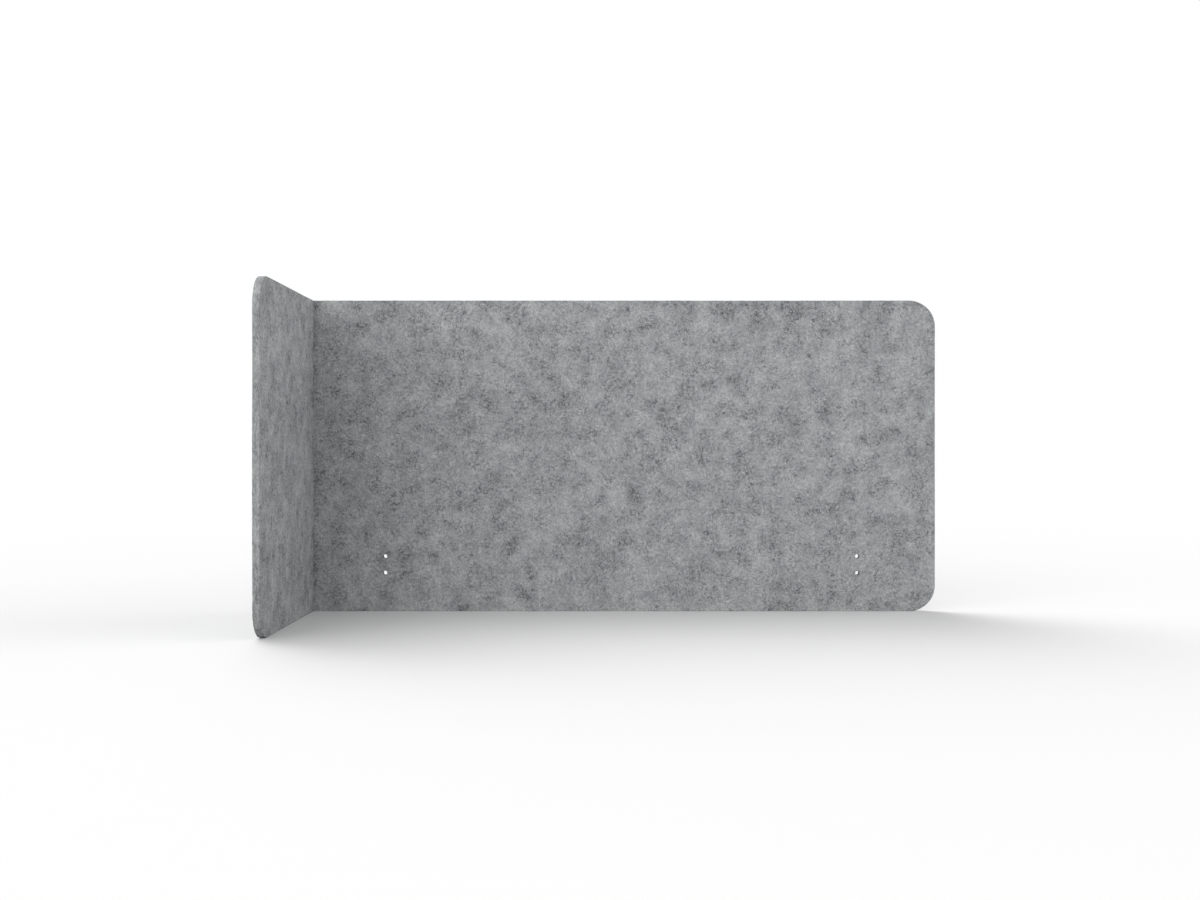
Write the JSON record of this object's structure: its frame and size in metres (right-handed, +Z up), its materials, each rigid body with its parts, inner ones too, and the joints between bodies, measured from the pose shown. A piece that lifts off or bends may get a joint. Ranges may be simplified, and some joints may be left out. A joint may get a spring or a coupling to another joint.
{
  "type": "acoustic divider screen",
  "caption": "L-shaped free-standing screen of thick pressed felt, folded at one corner, with bolt holes low in the long panel.",
  "frame": {"origin": "on the floor, at the middle of the folded screen's outer length and depth", "axes": "+X along the long panel away from the fold, +Y out of the long panel's back, +Z up; the wing comes forward along -Y at the low X end"},
  "size_m": [1.212, 0.412, 0.6],
  "materials": {
    "panel_felt": "mottled mid-grey pressed polyester felt, matt",
    "hook_tape": "moulded nylon hook tape, dark grey"
  },
  "bodies": {
    "long_panel": {"main_panel": "panel_felt", "hinge_skin": "panel_felt"},
    "wing": {"wing_panel": "panel_felt", "hook_strip_lower": "hook_tape", "hook_strip_middle": "hook_tape", "hook_strip_upper": "hook_tape"}
  },
  "joints": [
    {"name": "wing_fold", "type": "hinge", "parent": "long_panel", "child": "wing", "pos_m": [-0.604, 0.204, 0.3], "axis": [0, 0, -1], "range_deg": [0, 90]}
  ]
}
